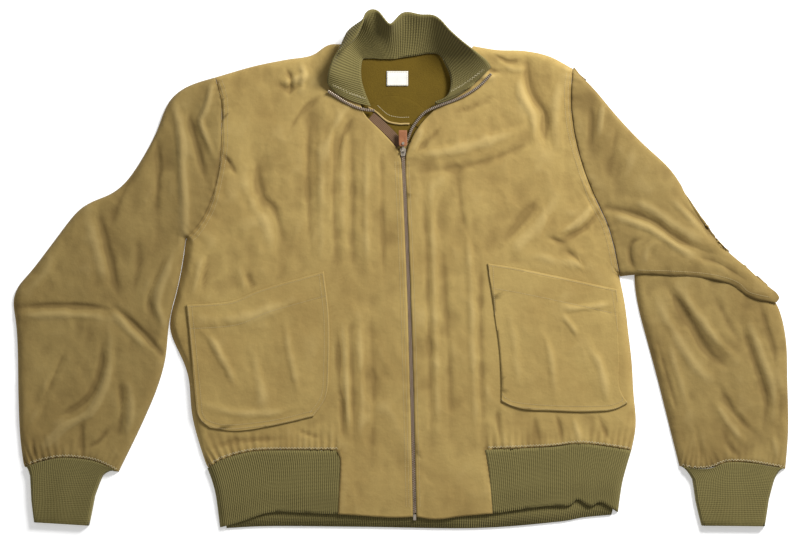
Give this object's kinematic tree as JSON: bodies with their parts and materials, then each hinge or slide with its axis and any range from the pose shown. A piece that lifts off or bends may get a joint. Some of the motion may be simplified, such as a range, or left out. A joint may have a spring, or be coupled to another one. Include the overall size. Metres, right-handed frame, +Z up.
{
  "type": "tanker jacket",
  "caption": "Zip-fronted cotton jacket with ribbed knit collar, cuffs and waistband and two patch pockets, laid flat on its back with the collar open",
  "frame": {"origin": "middle of the jacket's outline on the floor plane that it lies on", "axes": "+X towards the wearer's left sleeve, +Y from the hem towards the collar, +Z up from the floor through the jacket"},
  "size_m": [1.1642, 0.7761, 0.046],
  "materials": {
    "cloth": "washed cotton, matt",
    "knit": "wool rib knit, matt",
    "lining": "brushed wool, matt",
    "tape": "woven cotton tape, matt",
    "zip_metal": "dulled metal",
    "leather": "worn leather",
    "label": "woven label, bare"
  },
  "bodies": {
    "jacket": {"front_right": "cloth", "front_left": "cloth", "back_panel": "cloth", "sleeve_right_top": "cloth", "sleeve_right_under": "cloth", "sleeve_left_upper": "cloth", "sleeve_left_forearm": "cloth", "sleeve_left_under": "cloth", "pocket_right": "cloth", "pocket_left": "cloth", "collar": "knit", "cuff_right": "knit", "cuff_left": "knit", "band_front_right": "knit", "band_front_left": "knit", "band_back": "knit", "back_lining": "lining", "wind_flap": "lining", "size_label": "label", "zip_closed": "tape", "zip_tape_right": "tape", "zip_left": "zip_metal", "zip_right": "zip_metal", "zip_box": "zip_metal", "zip_slider": "zip_metal"},
    "pull": {"zip_link": "zip_metal", "leather_tab": "leather", "tab_rivet": "zip_metal"}
  },
  "joints": [
    {"name": "pull_swing", "type": "hinge", "parent": "jacket", "child": "pull", "pos_m": [0.0026, 0.178, 0.0132], "axis": [1, 0, 0], "range_deg": [0, 160]}
  ]
}
